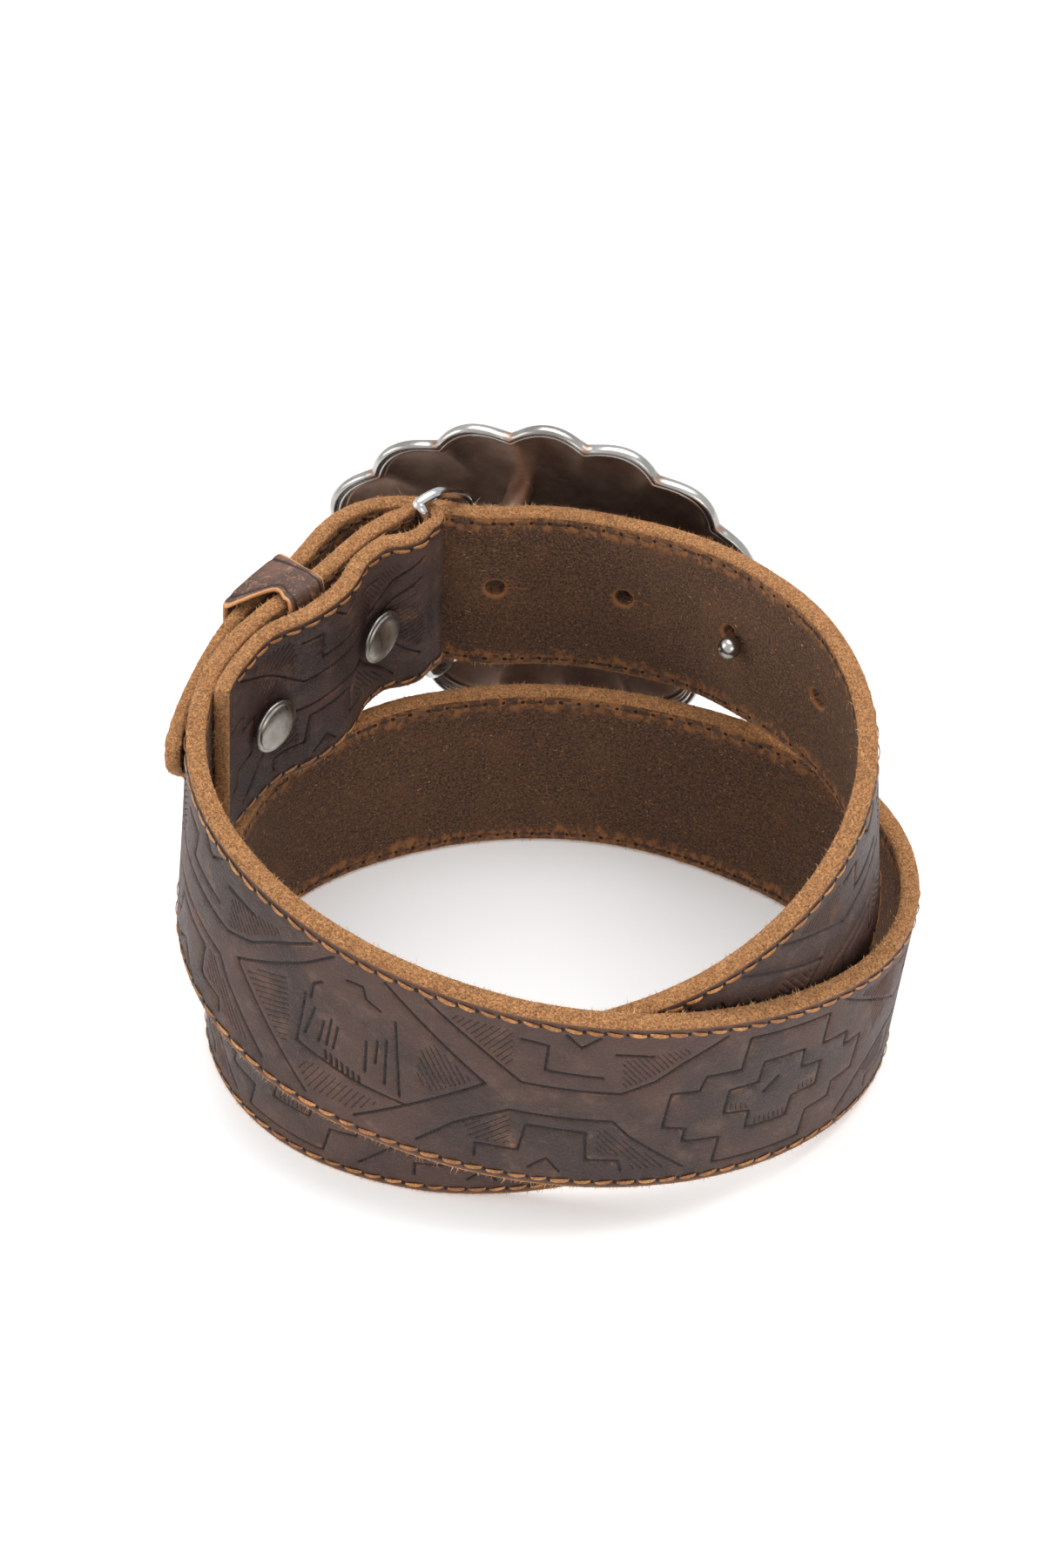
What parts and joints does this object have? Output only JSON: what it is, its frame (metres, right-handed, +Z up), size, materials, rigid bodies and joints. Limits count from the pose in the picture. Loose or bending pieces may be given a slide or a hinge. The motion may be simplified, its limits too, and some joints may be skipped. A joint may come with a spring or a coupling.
{
  "type": "embossed belt",
  "caption": "Embossed brown leather western belt, fastened, wound on itself and standing on its edge, with a scalloped oval metal buckle, wire bail, keeper loop and domed snaps.",
  "frame": {"origin": "on the floor under the middle of the belt's footprint", "axes": "+Z up; +Y towards the buckle plate; +X to the right seen from the side opposite the buckle"},
  "size_m": [0.1296, 0.1232, 0.0828],
  "materials": {
    "strap_leather": "embossed, waxed grain side, suede inner side",
    "keeper_leather": "plain waxed",
    "snap_steel": "brushed",
    "buckle_silver": "aged silver, dark brushed back and polished rim",
    "bail_chrome": "polished"
  },
  "bodies": {
    "root": {"strap": "strap_leather", "keeper_loop": "keeper_leather", "snap_cap_1": "snap_steel", "snap_cap_2": "snap_steel", "snap_post_1": "snap_steel", "snap_post_2": "snap_steel", "buckle_plate": "buckle_silver", "buckle_bail": "bail_chrome"}
  },
  "joints": []
}
